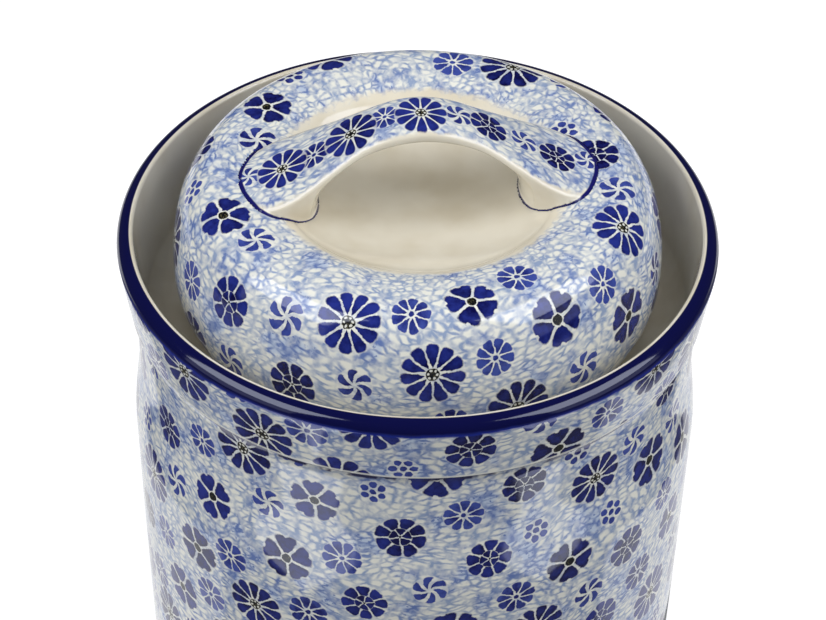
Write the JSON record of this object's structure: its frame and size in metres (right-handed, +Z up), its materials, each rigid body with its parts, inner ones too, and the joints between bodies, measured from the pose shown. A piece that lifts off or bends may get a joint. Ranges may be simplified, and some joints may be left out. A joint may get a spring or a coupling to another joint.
{
  "type": "water seal pickle jar",
  "caption": "Stoneware crock with a water-filled collar, a hollow lid with a strap handle that stands in the water as an airlock, and two half-moon weights inside.",
  "frame": {"origin": "middle of the ring that the crock stands on", "axes": "+Z up along the crock's axis, X along the lid's handle"},
  "size_m": [0.23, 0.23, 0.2958],
  "materials": {
    "patterned_glaze": "glossy clear glaze over blue sponged and stamped decoration",
    "cream_glaze": "glossy plain cream glaze"
  },
  "bodies": {
    "crock": {"crock": "patterned_glaze"},
    "lid": {"lid": "patterned_glaze", "lid_handle": "patterned_glaze"},
    "weight_left": {"weight_left": "cream_glaze"},
    "weight_right": {"weight_right": "cream_glaze"}
  },
  "joints": [
    {"name": "lid_lift", "type": "slide", "parent": "crock", "child": "lid", "axis": [0, 0, 1], "range_m": [0, 0.12]},
    {"name": "weight_left_lift", "type": "slide", "parent": "crock", "child": "weight_left", "axis": [0, 0, 1], "range_m": [0, 0.16]},
    {"name": "weight_right_lift", "type": "slide", "parent": "crock", "child": "weight_right", "axis": [0, 0, 1], "range_m": [0, 0.16]}
  ]
}
